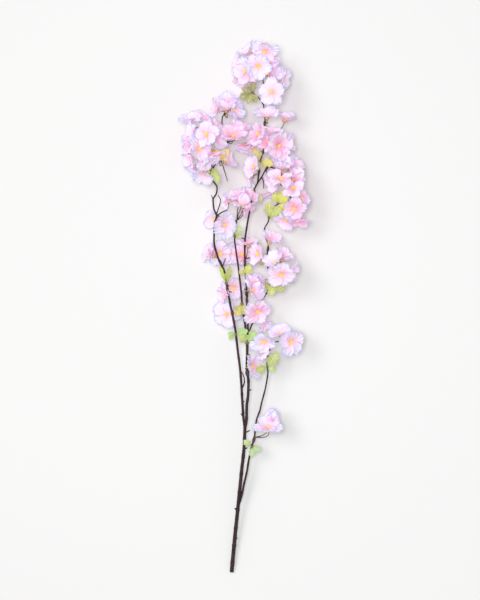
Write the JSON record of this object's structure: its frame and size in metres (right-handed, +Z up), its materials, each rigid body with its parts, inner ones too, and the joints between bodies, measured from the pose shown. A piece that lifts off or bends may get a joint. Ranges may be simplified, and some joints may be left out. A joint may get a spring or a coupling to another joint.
{
  "type": "peach blossom branch",
  "caption": "Cut branch of pink peach blossom lying down: thin dark forked stems that carry bunches of five-petalled blooms and small cut-edged leaves.",
  "frame": {"origin": "middle of the lying spray in plan, on the surface that it lies on", "axes": "+Y along the spray from the cut end of the stem to the tip, +X to the right seen from above with the tip away, +Z up from the surface"},
  "size_m": [0.2655, 1.0706, 0.1115],
  "materials": {
    "bark": "matt dark brown bark with small nubs",
    "blossom": "thin matt petals, deep pink at the throat and pale lilac at the edge",
    "leaf": "thin matt yellow-green blades with veins"
  },
  "bodies": {
    "root": {"branch": "bark", "blossoms_top": "blossom", "blossoms_upper_left": "blossom", "blossoms_left_tip": "blossom", "blossoms_left_upper": "blossom", "blossoms_left_lower": "blossom", "blossoms_left_end": "blossom", "blossoms_left_side": "blossom", "blossoms_centre_left": "blossom", "blossoms_centre": "blossom", "blossoms_right_top": "blossom", "blossoms_right_upper": "blossom", "blossoms_right_middle": "blossom", "blossoms_right": "blossom", "blossoms_right_small": "blossom", "blossoms_inner": "blossom", "blossoms_middle": "blossom", "blossoms_middle_small": "blossom", "blossoms_mid_left": "blossom", "blossoms_row_left": "blossom", "blossoms_row_middle": "blossom", "blossoms_row_right": "blossom", "blossoms_side_right": "blossom", "blossoms_low_left": "blossom", "blossoms_bottom_left": "blossom", "blossoms_bottom_right": "blossom", "blossoms_side_top": "blossom", "blossoms_stem": "blossom", "blossoms_low": "blossom", "leaves_side_low": "leaf", "leaves_side": "leaf", "leaves_stem_left": "leaf", "leaves_stem_right": "leaf", "leaves_lower_twig": "leaf", "leaves_left_narrow": "leaf", "leaves_middle_twig": "leaf", "leaves_right_low": "leaf", "leaves_middle_tip": "leaf", "leaves_right_twig": "leaf", "leaves_right_lower_fan": "leaf", "leaves_right_upper_fan": "leaf", "leaves_long_twig": "leaf", "leaves_upper_twig": "leaf", "leaves_left_pair": "leaf", "leaves_left_cross": "leaf", "leaves_left_inner": "leaf", "leaves_top": "leaf"}
  },
  "joints": []
}
